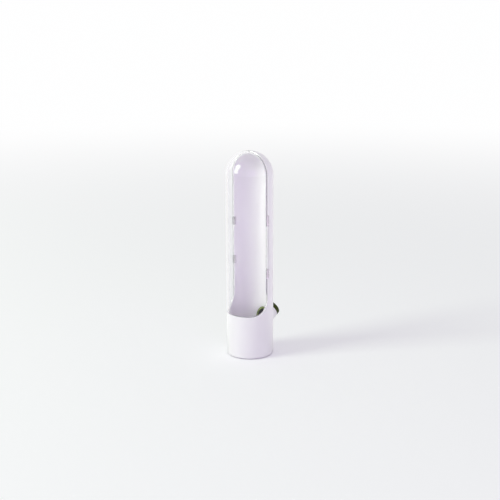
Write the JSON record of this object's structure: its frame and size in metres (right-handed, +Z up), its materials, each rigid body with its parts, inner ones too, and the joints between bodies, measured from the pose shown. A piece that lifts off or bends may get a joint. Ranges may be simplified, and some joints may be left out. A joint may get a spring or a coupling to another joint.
{
  "type": "herb keeper",
  "caption": "Tall round herb keeper with a domed top: white cup and back shell, clear side-hinged front cover, and a tilted water filler spout closed by a green stopper.",
  "frame": {"origin": "centre of the foot face, on the axis of the round cup", "axes": "+Z up along the cup's axis, -Y the clear cover's side (front), +Y the filler spout's side (back), +X the hinge edge"},
  "size_m": [0.0659, 0.0848, 0.282],
  "materials": {
    "white_shell": "moulded white plastic, soft gloss",
    "white_base": "moulded white plastic, soft gloss",
    "clear_cover": "clear polished plastic",
    "pin_steel": "drawn wire",
    "green_stopper": "matt olive green silicone"
  },
  "bodies": {
    "body": {"body_shell": "white_shell", "base_plate": "white_base", "hinge_pin": "pin_steel"},
    "cover": {"clear_cover": "clear_cover"},
    "stopper": {"filler_stopper": "green_stopper"}
  },
  "joints": [
    {"name": "cover_hinge", "type": "hinge", "parent": "body", "child": "cover", "pos_m": [0.032, 0, 0.155], "axis": [0, 0, 1], "range_deg": [0, 110]},
    {"name": "stopper_pull", "type": "slide", "parent": "body", "child": "stopper", "axis": [0, 0.8387, 0.5446], "range_m": [0, 0.04]}
  ]
}
